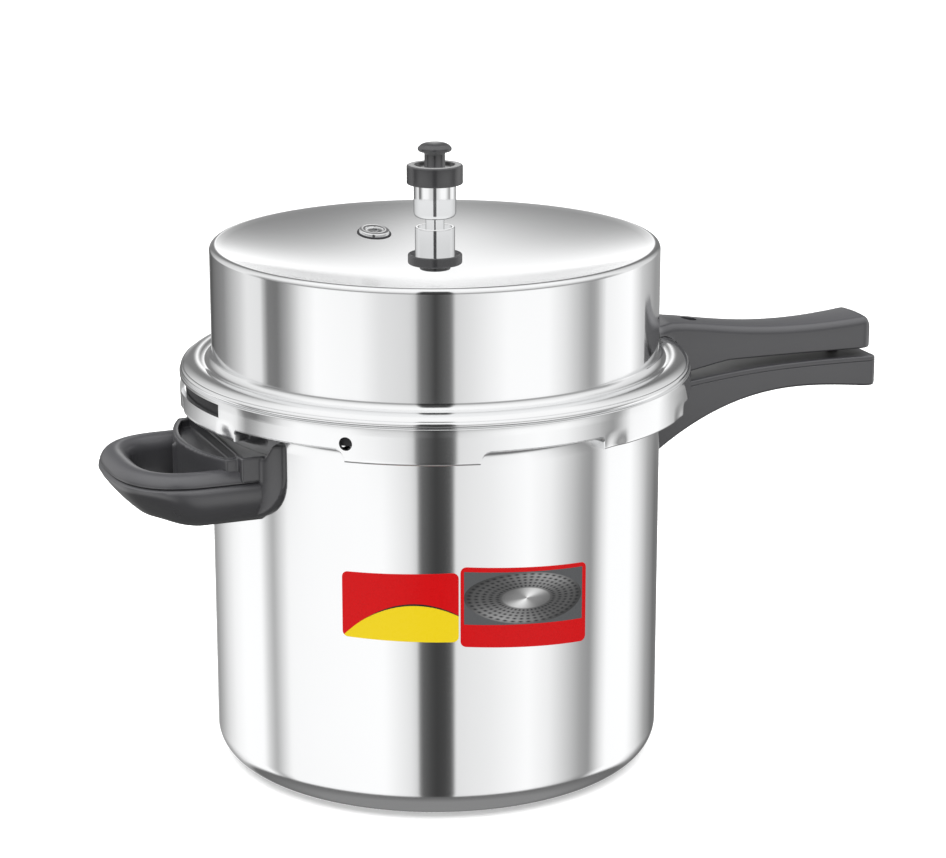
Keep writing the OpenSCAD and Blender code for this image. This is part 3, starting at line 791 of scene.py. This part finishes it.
def make_regulator():
    base_r = 15
    cup_r = 11
    base = [(5, 0), (8.2, 0)] + arc((8.1, 0.4), 0.4, -90, 0, 4) + arc((9.1, 2.4), 0.6, 180, 90, 5)
    base += arc((base_r - 1.2, 4.2), 1.2, -90, 0, 7) + arc((base_r - 0.9, 7.8), 0.9, 0, 75, 6)
    base += [(cup_r + 0.4, 7.2), (cup_r + 0.2, 6.9), (cup_r + 0.2, 5), (5, 5)]
    regulator_piece("vent_collar", base, "lid", collar_black, "phenolic", "vent_base")

    cup = [(5, 5), (cup_r - 0.3, 5)] + arc((cup_r - 0.3, 5.3), 0.3, -90, 0, 3)
    cup += arc((cup_r - 0.5, 23.1), 0.5, 0, 90, 6)
    cup += arc((9.6, 23.2), 0.4, 90, 180, 5) + arc((8.4, 7.4), 0.8, 0, -90, 5) + [(5, 6.6)]
    regulator_piece("vent_bowl", cup, "lid", chrome, "chrome", "vent_cup")

    needle = [(0, 12), (0.8, 12), (1.6, 13.6), (2.6, 15.5), (3.6, 15.5)]
    needle += arc((4.15, 18.3), 1, -45, 0, 5) + [(5.15, 31), (0, 31)]
    regulator_piece("weight_stem", needle, "weight", chrome, "chrome", "weight_needle")

    weight_r = 11.7
    round_r = 3
    weight = [(5.15, 29)] + arc((weight_r - round_r, 29 + round_r), round_r, -90, 0, 10)
    weight += [(weight_r, 47.6), (2, 47.6), (2, 31), (5.15, 31)]
    regulator_piece("weight_barrel", weight, "weight", chrome, "chrome", "weight_body")

    collar_r = 15.5
    collar = [(2, 47.6)] + arc((collar_r - 0.8, 48.4), 0.8, -90, 0, 6)
    collar += arc((collar_r - 0.9, 57.3), 0.9, 0, 90, 7)
    collar += arc((11.4, 57.7), 0.5, 90, 180, 5) + arc((10.2, 56.5), 0.7, 0, -90, 4) + [(2, 55.8)]
    regulator_piece("weight_ring", collar, "weight", collar_black, "phenolic", "weight_collar")

    knob_r = 9.4
    stem = 5.7
    edge = 1.5
    knob = [(0, 62), (2, 62), (2, 55.8), (stem, 55.8)] + arc((stem + 1.6, 63.8), 1.6, 180, 90, 8)
    knob += arc((knob_r - edge, 65.4 + edge), edge, -70, 60, 10)
    knob += bezier((knob_r - 0.8, 68.3), (knob_r - 2.4, 70.1), (4, 70.6), (0, 70.6), 14)[1:]
    regulator_piece("weight_finger_knob", knob, "weight", collar_black, "phenolic", "weight_knob")


# --- Long handles -------------------------------------------------------------

# Half widths in plan: at the root, in the narrow middle and towards the tip
GRIP_ROOT = 17.5 * MM
GRIP_WAIST = 12 * MM
GRIP_FULL = 16.5 * MM

# The pot's wall is cut out of the handles between these heights
CUT_Z = (0.1, 0.3)


def section(x, half, low, high, top_r, low_r, crown, rib=0.0):
    """Closed ring across a long handle at x: crowned top and rounded edges,
    with a fine line, rib deep, along each side."""
    points = arc((half - top_r, high - top_r), top_r, 90, 0, 8)
    if rib:
        line = high - top_r - 1.6 * MM
        points += [(half, line + 0.35 * MM), (half - rib, line), (half, line - 0.35 * MM)]
    points += arc((half - low_r, low + low_r), low_r, 0, -90, 5)
    mirrored = [(-y, z) for y, z in reversed(points)]
    crest = []
    for i in range(1, 12):
        t = i / 12
        y = -(half - top_r) + 2 * (half - top_r) * t
        crest.append((y, high + crown * math.sin(math.pi * t)))
    return [(x, y, z) for y, z in points + mirrored + crest]


def half_width(x, root, tip, corner):
    """Half width of a long handle in plan, with a rounded tip."""
    path = bezier((root, GRIP_ROOT), (root + 32 * MM, GRIP_WAIST), (root + 72 * MM, GRIP_WAIST),
                  (tip - corner, GRIP_FULL), 24)
    if x <= tip - corner:
        return height_on(path, x)
    into = min(x - (tip - corner), corner * 0.999)
    return GRIP_FULL - corner + math.sqrt(corner ** 2 - into ** 2)


def nose_heights(x, tip, low, high, top_nose, low_nose):
    """Lower and upper edge near the tip, pulled in along the rounded nose."""
    if x > tip - top_nose:
        high -= top_nose - math.sqrt(max(top_nose ** 2 - (x - tip + top_nose) ** 2, 0))
    if x > tip - low_nose:
        low += low_nose - math.sqrt(max(low_nose ** 2 - (x - tip + low_nose) ** 2, 0))
    return low, high


def stations(start, tip, fine):
    """Places of a long handle's sections, closer together towards the tip."""
    n = 44
    places = [start + (tip - fine - start) * i / n for i in range(n)]
    steps = 14
    places += [tip - fine * (1 - math.sin(math.pi / 2 * i / steps)) for i in range(steps + 1)]
    return places


def edge_line(places, heights):
    """Upper or lower edge of a long handle: its first point, a curve on the next four, and its last point."""
    points = list(zip(places, heights))
    return [points[0]] + bezier(*points[1:-1], 24) + [points[-1]]


def make_lid_handle():
    root = tip_low.x
    tip = tip_high.x
    top = edge_line(
        (root, root + 9 * MM, root + 38 * MM, root + 66 * MM, tip - 6 * MM, tip),
        [FLANGE_Z + z * MM for z in (12.6, 14, 12, 1, 7.5, 7.6)],
    )
    # Lower than the CAD handle, for a narrow gap over the pot's handle
    low_z = tip_low.z - 2.7 * MM
    under = [(root, low_z), (root + 22 * MM, low_z + 1 * MM), (root + 46 * MM, low_z + 4.8 * MM)]
    under.append((tip, low_z + 4.8 * MM))
    rings = []
    for x in stations(root, tip, 9 * MM):
        low, high = nose_heights(x, tip, height_on(under, x), height_on(top, x), 7 * MM, 2.5 * MM)
        half = half_width(x, root - 1 * MM, tip, 8 * MM)
        top_edge = min(4.6 * MM, half * 0.6, (high - low) * 0.45)
        low_edge = min(1.2 * MM, half * 0.2, (high - low) * 0.2)
        rings.append(section(x, half, low, high, top_edge, low_edge, 0.5 * MM))
    handle = loft("upper_grip", rings, 40)
    saddle = SKIRT_R + 1.9 * MM
    below = 0.19
    hug = [(0, below), (saddle, below), (saddle, STEP_Z), (SKIRT_R - 0.6 * MM, STEP_Z + 3 * MM)]
    hug += arc(CROWN, CROWN_R + 0.2 * MM, 30, 112, 12)
    hug.append((0, hug[-1][1]))
    combined(handle, turned("hug_tool", hug, 360), "DIFFERENCE")
    screw_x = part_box("lid_handle_screw")[0].x + 4.2 * MM
    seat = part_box("lid_handle_screw")[1].z - 2.6 * MM
    well = reshaped(rod("well_tool", 4.6 * MM, seat, seat + 30 * MM), Matrix.Translation((screw_x, 0, 0)))
    combined(handle, well, "DIFFERENCE")
    return finish_piece(handle, "lid", phenolic, "phenolic", "lid_handle")


def make_body_handle():
    root = POT_R + 1.9 * MM
    start = root - 3 * MM
    tip = grip_high.x
    top_z = (0.1996, 0.2002, 0.203, 0.2066, 0.2059, 0.2059)
    low_z = (0.158, 0.160, 0.197, 0.1924, 0.1878, 0.1876)
    top = edge_line((start, root + 16 * MM, root + 48 * MM, root + 68 * MM, tip - 7 * MM, tip), top_z)
    under = edge_line((start, root, root + 58 * MM, root + 95 * MM, tip - 8 * MM, tip), low_z)
    rings = []
    for x in stations(start, tip, 8 * MM):
        low, high = nose_heights(x, tip, height_on(under, x), height_on(top, x), 2.6 * MM, 2.6 * MM)
        half = half_width(x, root - 4 * MM, tip, 5 * MM)
        top_edge = min(1.5 * MM, half * 0.3, (high - low) * 0.3)
        low_edge = min(1.6 * MM, half * 0.3, (high - low) * 0.2)
        rings.append(section(x, half, low, high, top_edge, low_edge, 0, 0.35 * MM))
    handle = loft("lower_grip", rings, 40)
    combined(handle, rod("hug_tool", root, *CUT_Z, 360), "DIFFERENCE")
    # Stop on top, near the tip
    nub_z = 0.204
    nub = [(0, -0.8), (15, -0.8), (12.4, 4.8), (11.6, 5.3), (7.4, 5.3), (6.6, 4.8)]
    nub = scaled(nub, tip - 26 * MM, nub_z)
    stop = loft("stop_tool", [[(x, y, z) for x, z in nub] for y in (8.5 * MM, 13.5 * MM)])
    combined(handle, stop, "UNION")
    return finish_piece(handle, "pot", phenolic, "phenolic", "body_handle")


# --- Helper handle ------------------------------------------------------------

# The loop's middle line of symmetry runs along u, outwards from the pot; v runs along the wall
HELP_TIP = -help_low.x
HELP_HALF = 52 * MM
HELP_LOW = help_low.z
HELP_BAR = 17 * MM
HELP_ROOT = POT_R + 1.9 * MM


def loop_outline(steps=72):
    """(u, v, outward normal) along the loop's outer edge: straight sides and a rounded tip."""
    bend = HELP_TIP - 45 * MM
    path = []
    for i in range(steps + 1):
        a = math.pi * (i / steps - 0.5)
        across = HELP_HALF * math.copysign(abs(math.sin(a)) ** 0.75, a)
        path.append((bend + 45 * MM * max(math.cos(a), 0) ** 0.8, across))
    root = POT_R - 20 * MM
    sides = [root + (bend - root) * i / 8 for i in range(8)]
    path = [(u, -HELP_HALF) for u in sides] + path + [(u, HELP_HALF) for u in reversed(sides)]
    found = []
    for i, (u, v) in enumerate(path):
        before, after = path[max(i - 1, 0)], path[min(i + 1, len(path) - 1)]
        along = Vector((after[0] - before[0], after[1] - before[1])).normalized()
        found.append((u, v, (along.y, -along.x)))
    return found


def loop_section(tip_share):
    """(outward, z) ring of the bar, in millimetres: rim, groove, and a hull that leans in at the tip."""
    low = HELP_LOW / MM
    bar = HELP_BAR / MM
    rim = arc((-8.8, low + 21.6), 8.3, 178, 18, 18)
    groove = [(-1.0, low + 23.6), (-2.1, low + 23.1), (-1.1, low + 22.5)]
    side = [
        (-0.2, 21.8), (0.5, 19.5), (0.6, 15), (-0.8, 9), (-3.5, 4), (-7, 1), (-11, 0), (-15, 0.6), (-bar, 3),
    ]
    lean = [
        (-0.2, 21.8), (0, 20.3), (-1.5, 17.5), (-4.5, 13.5), (-8, 9.5), (-11.5, 6), (-14.5, 3.3),
        (-16.3, 2.6), (-bar, 4),
    ]
    hull = []
    for (n0, z0), (n1, z1) in zip(side, lean):
        hull.append((n0 + (n1 - n0) * tip_share, low + z0 + (z1 - z0) * tip_share))
    return rim + groove + hull


def helper_loop():
    rings = []
    for u, v, normal in loop_outline():
        share = smoothstep(HELP_TIP - 40 * MM, HELP_TIP - 6 * MM, u)
        ring = []
        for out, z in loop_section(share):
            ring.append((u + normal[0] * out * MM, v + normal[1] * out * MM, z * MM))
        rings.append(ring)
    return loft("loop_tool", rings)


def prism(name, outline, low, high):
    """Closed solid over an outline of (u, v) points."""
    return loft(name, [[(u, v, z) for u, v in outline] for z in (low, high)])


def mound_outline(root, inset, half):
    """Outline of the mound between the pot and the opening, from u = root: a shallow bow."""
    bow = 90 * MM
    middle = POT_R + 23.5 * MM - bow
    sweep = math.degrees(math.asin(half / bow))
    return [(root, -half)] + arc((middle, 0), bow - inset, -sweep, sweep, 30) + [(root, half)]


def helper_foot(side):
    """End of the foot along the wall, thinner and round towards its edge."""
    rings = []
    steps = 18
    start, end = 18, 30
    round_r = 27 * MM
    # Height of the foot's top in millimetres, and its step up towards the foot's end
    top, step = 37.4, 8.2
    step_deg = (24.4, 27.6)
    for i in range(steps + 1):
        share = math.sin(math.pi / 2 * i / steps)
        a = math.radians(start + (end - start) * share)
        into = max(0, (share - 0.1) / 0.9)
        thick = 0.5 * MM + 5 * MM * math.sqrt(max(1 - into ** 2.2, 0))
        low = HELP_LOW + 2 * MM + round_r * (1 - math.sqrt(max(1 - into ** 2, 0)))
        high = HELP_LOW + (top + step * smoothstep(*step_deg, math.degrees(a))) * MM
        outer = POT_R + thick
        edge = min(3 * MM, thick * 0.45)
        ring = [(POT_R - 2 * MM, low), (outer - edge, low)]
        ring += arc((outer - edge, low + edge), edge, -60, 0, 4)
        ring += arc((outer - edge, high - edge), edge, 0, 60, 4)
        ring += [(outer - edge, high), (POT_R - 2 * MM, high)]
        rings.append([(r * math.cos(a), side * r * math.sin(a), z) for r, z in ring])
    return loft("foot_tool", rings)


def remeshed(obj, voxel, rounds):
    """obj as one skin of even faces, with its edges worn round."""
    remesh = obj.modifiers.new("remesh", "REMESH")
    remesh.mode = "VOXEL"
    remesh.voxel_size = voxel
    smooth = obj.modifiers.new("smooth", "SMOOTH")
    smooth.factor = 0.5
    smooth.iterations = rounds
    return applied(obj)


def make_helper_handle():
    low = HELP_LOW
    mound_top = low + 36 * MM
    inside = POT_R - 20 * MM
    shelf = POT_R + 4.5 * MM
    mound = prism("mound_tool", mound_outline(inside, 0, 46 * MM), low + 2 * MM, mound_top)
    dish = prism("dish_tool", mound_outline(shelf, 3.2 * MM, 42 * MM), mound_top - 5 * MM, mound_top + 9 * MM)
    combined(mound, dish, "DIFFERENCE")
    edge = HELP_HALF + 0.2 * MM
    block = [(inside, -edge), (shelf, -edge), (shelf, edge), (inside, edge)]
    rib = rod("rib_tool", 1.4 * MM, low + 4 * MM, mound_top - 4 * MM, 16)
    core = joined([
        mound,
        prism("block_tool", block, low + 24 * MM, low + 37.6 * MM),
        reshaped(rib, Matrix.Translation((POT_R + 23.6 * MM, -9 * MM, 0))),
        helper_foot(-1),
        helper_foot(1),
    ])
    handle = combined(helper_loop(), remeshed(core, 0.8 * MM, 4), "UNION", 40)
    combined(handle, rod("hug_tool", POT_R + 0.1 * MM, *CUT_Z, 360), "DIFFERENCE", 40)
    pocket = band("pocket_tool", -12, 12, low - 5 * MM, low + 35.6 * MM, POT_R - 5 * MM, HELP_ROOT)
    combined(handle, pocket, "DIFFERENCE", 40)
    screw_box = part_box("helper_screw")
    screw_at = -(screw_box[0].x + screw_box[1].x) / 2
    well = rod("well_tool", 4.6 * MM, low - 8 * MM, screw_box[0].z + 2.6 * MM)
    combined(handle, reshaped(well, Matrix.Translation((screw_at, 0, 0))), "DIFFERENCE", 40)
    handle.name = "helper_grip"
    reshaped(handle, Matrix.Rotation(math.pi, 4, "Z"))
    return finish_piece(handle, "pot", phenolic, "phenolic", "helper_handle")


make_pot()
make_lid()
make_plug()
make_regulator()
make_lid_handle()
make_body_handle()
make_helper_handle()


# --- CAD nodes that stay ------------------------------------------------------

CAD_FINISH = {
    steel: (
        "body_bracket", "body_bracket_rivets", "body_handle_screw", "helper_bracket",
        "helper_bracket_rivets", "helper_screw", "lid_bracket", "lid_bracket_rivets",
        "lid_handle_screw", "plug_nut", "vent_nut", "vent_tube", "weight_screw",
    ),
    rubber: ("gasket", "vent_washer"),
    fuse_metal: ("plug_fuse",),
    base_material(): ("base_plate",),
    left_label_material(): ("label_left",),
    right_label_material(): ("label_right",),
}
for material, names in CAD_FINISH.items():
    for node_name in names:
        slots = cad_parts[node_name].data.materials
        slots.clear()
        slots.append(material)

# The satin top carries no mirror image of what stands on it
for node_name in ("vent_tube", "vent_washer", "weight_screw", "plug_fuse"):
    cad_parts[node_name].visible_glossy = False
for name in ("vent_collar", "vent_bowl", "weight_stem", "weight_barrel", "weight_ring", "weight_finger_knob",
             "plug_seal", "plug_head"):
    bpy.data.objects[name].visible_glossy = False


# --- Studio -------------------------------------------------------------------

# Side of the object that the camera is on, as an angle from +X
CAMERA_DEG = 249


def make_world():
    """A soft white studio: broad white cards all round, a narrow dark gap at the camera, a grey one at each
    side, and a dull table below."""
    world = bpy.data.worlds.new("studio")
    bpy.context.scene.world = world
    world.use_nodes = True
    g = Graph(world.node_tree, "Background")
    spin = g.new("VectorRotate")
    spin.rotation_type = "Z_AXIS"
    g.fill(spin, {"Vector": g.new("TexCoord").outputs["Generated"], "Angle": math.radians(-CAMERA_DEG)})
    x, y, z = g.parts(spin.outputs[0])
    way = g.math("ADD", g.math("DIVIDE", g.math("ARCTAN2", y, x), 2 * math.pi), 0.5)
    rise = g.math("ADD", g.math("DIVIDE", g.math("ARCSINE", z), math.pi), 0.5)

    def around(*stops):
        """Levels by degrees to the right of the camera."""
        return g.ramp(way, [(degrees / 360 + 0.5, level) for degrees, level in stops])

    def upward(*stops):
        """Levels by degrees above the horizon."""
        return g.ramp(rise, [(degrees / 180 + 0.5, level) for degrees, level in stops])

    # Light that the lower wall sees, and light that the dome's wall sees
    low_wall = around(
        (-180, 0.18), (-165, 0.26), (-150, 0.5), (-138, 0.8), (-128, 1.0), (-118, 1.1), (-102, 1.1),
        (-97, 0.72), (-92, 0.46), (-87, 0.74), (-81, 1.05), (-27, 1.1), (-13, 0.86), (-9.6, 0.7),
        (-8.2, 0.14), (-3, 0.07), (0, 0.05), (4, 0.06), (8.2, 0.12), (9.6, 0.84), (27, 0.92), (48, 1.08),
        (60, 0.94), (72, 0.62), (80, 0.39), (86, 0.31), (94, 0.86), (99, 1.1), (118, 1.1),
        (128, 0.84), (140, 0.4), (154, 0.18),
    )
    high_wall = around(
        (-180, 0.04), (-160, 0.09), (-150, 0.18), (-135, 0.27), (-118, 0.63), (-109, 0.86), (-98, 0.84),
        (-93, 0.21), (-86, 0.17), (-79, 0.4), (-70, 0.9), (-62, 1.1), (-38, 1.05), (-27, 0.84), (-13, 0.76),
        (-9.6, 0.62), (-8.2, 0.22), (-3, 0.12), (0, 0.06), (8.2, 0.18), (9.6, 0.74), (27, 0.98), (36, 1.1),
        (58, 1.1), (68, 0.88), (77, 0.58), (84, 0.36), (88, 0.42), (96, 1.0), (117, 1.1), (130, 0.62),
        (150, 0.34),
    )
    walls = g.mixed(upward((-16.5, 0.0), (-14, 1.0)), low_wall, high_wall)
    # Above the horizon: white in front with the dark gap in it, grey at the back, white overhead
    sides = around(
        (-180, 0.22), (-160, 0.22), (-140, 0.7), (-95, 1.0), (-9.6, 1.0), (-8.2, 0.08),
        (8.2, 0.08), (9.6, 1.0), (95, 1.0), (140, 0.7), (160, 0.18), (180, 0.22),
    )
    over_front = upward((46, 0.0), (58, 1.0))
    over_back = upward((62, 0.0), (76, 1.0))
    at_back = around((-160, 1.0), (-140, 0.0), (140, 0.0), (160, 1.0))
    overhead = g.mixed(at_back, over_front, over_back)
    upper = g.mixed(overhead, sides, (1.05, 1.05, 1.05))
    whole = g.mixed(upward((-5, 0.0), (-1, 1.0)), walls, upper)
    # A grey strip along the horizon in front
    strip = upward((-8, 1.0), (-3, 0.4), (11, 0.38), (19, 0.72), (32, 0.88), (45, 1.0))
    in_front = around((-110, 0.0), (-95, 1.0), (95, 1.0), (110, 0.0))
    whole = g.multiplied(whole, g.mixed(in_front, (1.0, 1.0, 1.0), strip))
    # A tall narrow card behind, which the dished top mirrors: white low down, grey higher up
    behind = upward(
        (-20, 1.3), (2, 1.3), (14, 1.15), (24, 1.0), (30, 0.95), (35, 0.78), (39, 0.46), (43, 0.29),
        (64, 0.26), (78, 1.0), (90, 1.05),
    )
    narrow = around(
        (-180, 1.0), (-178.3, 0.85), (-176.3, 0.4), (-173.5, 0.05), (-171, 0.0),
        (171, 0.0), (174.5, 0.05), (177, 0.35), (178.7, 0.8), (180, 1.0),
    )
    wide = around(
        (-180, 1.0), (-175, 0.8), (-169, 0.3), (-162, 0.0), (164, 0.0), (171, 0.15), (177, 0.5), (180, 1.0),
    )
    card = g.mixed(upward((-6, 1.0), (8, 0.0)), narrow, wide)
    with_card = g.mixed(card, whole, behind)
    table = upward((-38, 1.0), (-33.5, 0.0))
    table_tone = upward((-60, 0.26), (-40, 0.15), (-29, 0.15))
    g.look(Color=g.mixed(table, with_card, table_tone), Strength=1.0)


def make_floor():
    """A white sheet, wide enough to have no end in any view."""
    bpy.ops.mesh.primitive_plane_add(size=24.0, location=(0, 0, 0))
    floor = bpy.context.object
    floor.name = "floor"
    made, g = new_material(
        "floor_white", (0.93, 0.93, 0.93), 0.0, 0.12, Specular_IOR_Level=0.12,
        Emission_Color=(1, 1, 1), Emission_Strength=0.25,
    )
    g.look(Roughness=g.mapped(g.noise(g.place(), 40, 2.0), 0.1, 0.14))
    floor.data.materials.append(made)
    floor.visible_glossy = False
    floor.visible_diffuse = False


def make_lights():
    """One broad light high above, which lifts the floor and the tops of the handles."""
    data = bpy.data.lights.new("overhead", "AREA")
    data.shape = "DISK"
    data.size = 8.0
    data.energy = 420
    light = bpy.data.objects.new("overhead", data)
    bpy.context.scene.collection.objects.link(light)
    light.location = (-0.3, -0.5, 3.5)
    light.rotation_euler = (-light.location).to_track_quat("-Z", "Y").to_euler()
    light.visible_glossy = False


def make_camera():
    """Looks at the pot from in front and a little above."""
    away = 1.5253
    height = 0.6036
    turn = math.radians(21)
    heading = math.pi / 2 - turn - math.radians(0.785)
    down = math.radians(15.37)
    data = bpy.data.cameras.new("camera")
    data.lens = 107.5
    data.sensor_width = 36
    data.clip_start = 0.05
    data.clip_end = 60
    camera = bpy.data.objects.new("camera", data)
    bpy.context.scene.collection.objects.link(camera)
    camera.location = (-away * math.sin(turn), -away * math.cos(turn), height)
    forward = Vector((
        math.cos(heading) * math.cos(down), math.sin(heading) * math.cos(down), -math.sin(down),
    ))
    camera.rotation_euler = forward.to_track_quat("-Z", "Y").to_euler()
    bpy.context.scene.camera = camera


make_world()
make_floor()
make_lights()
make_camera()
bpy.context.scene.view_settings.view_transform = "Standard"
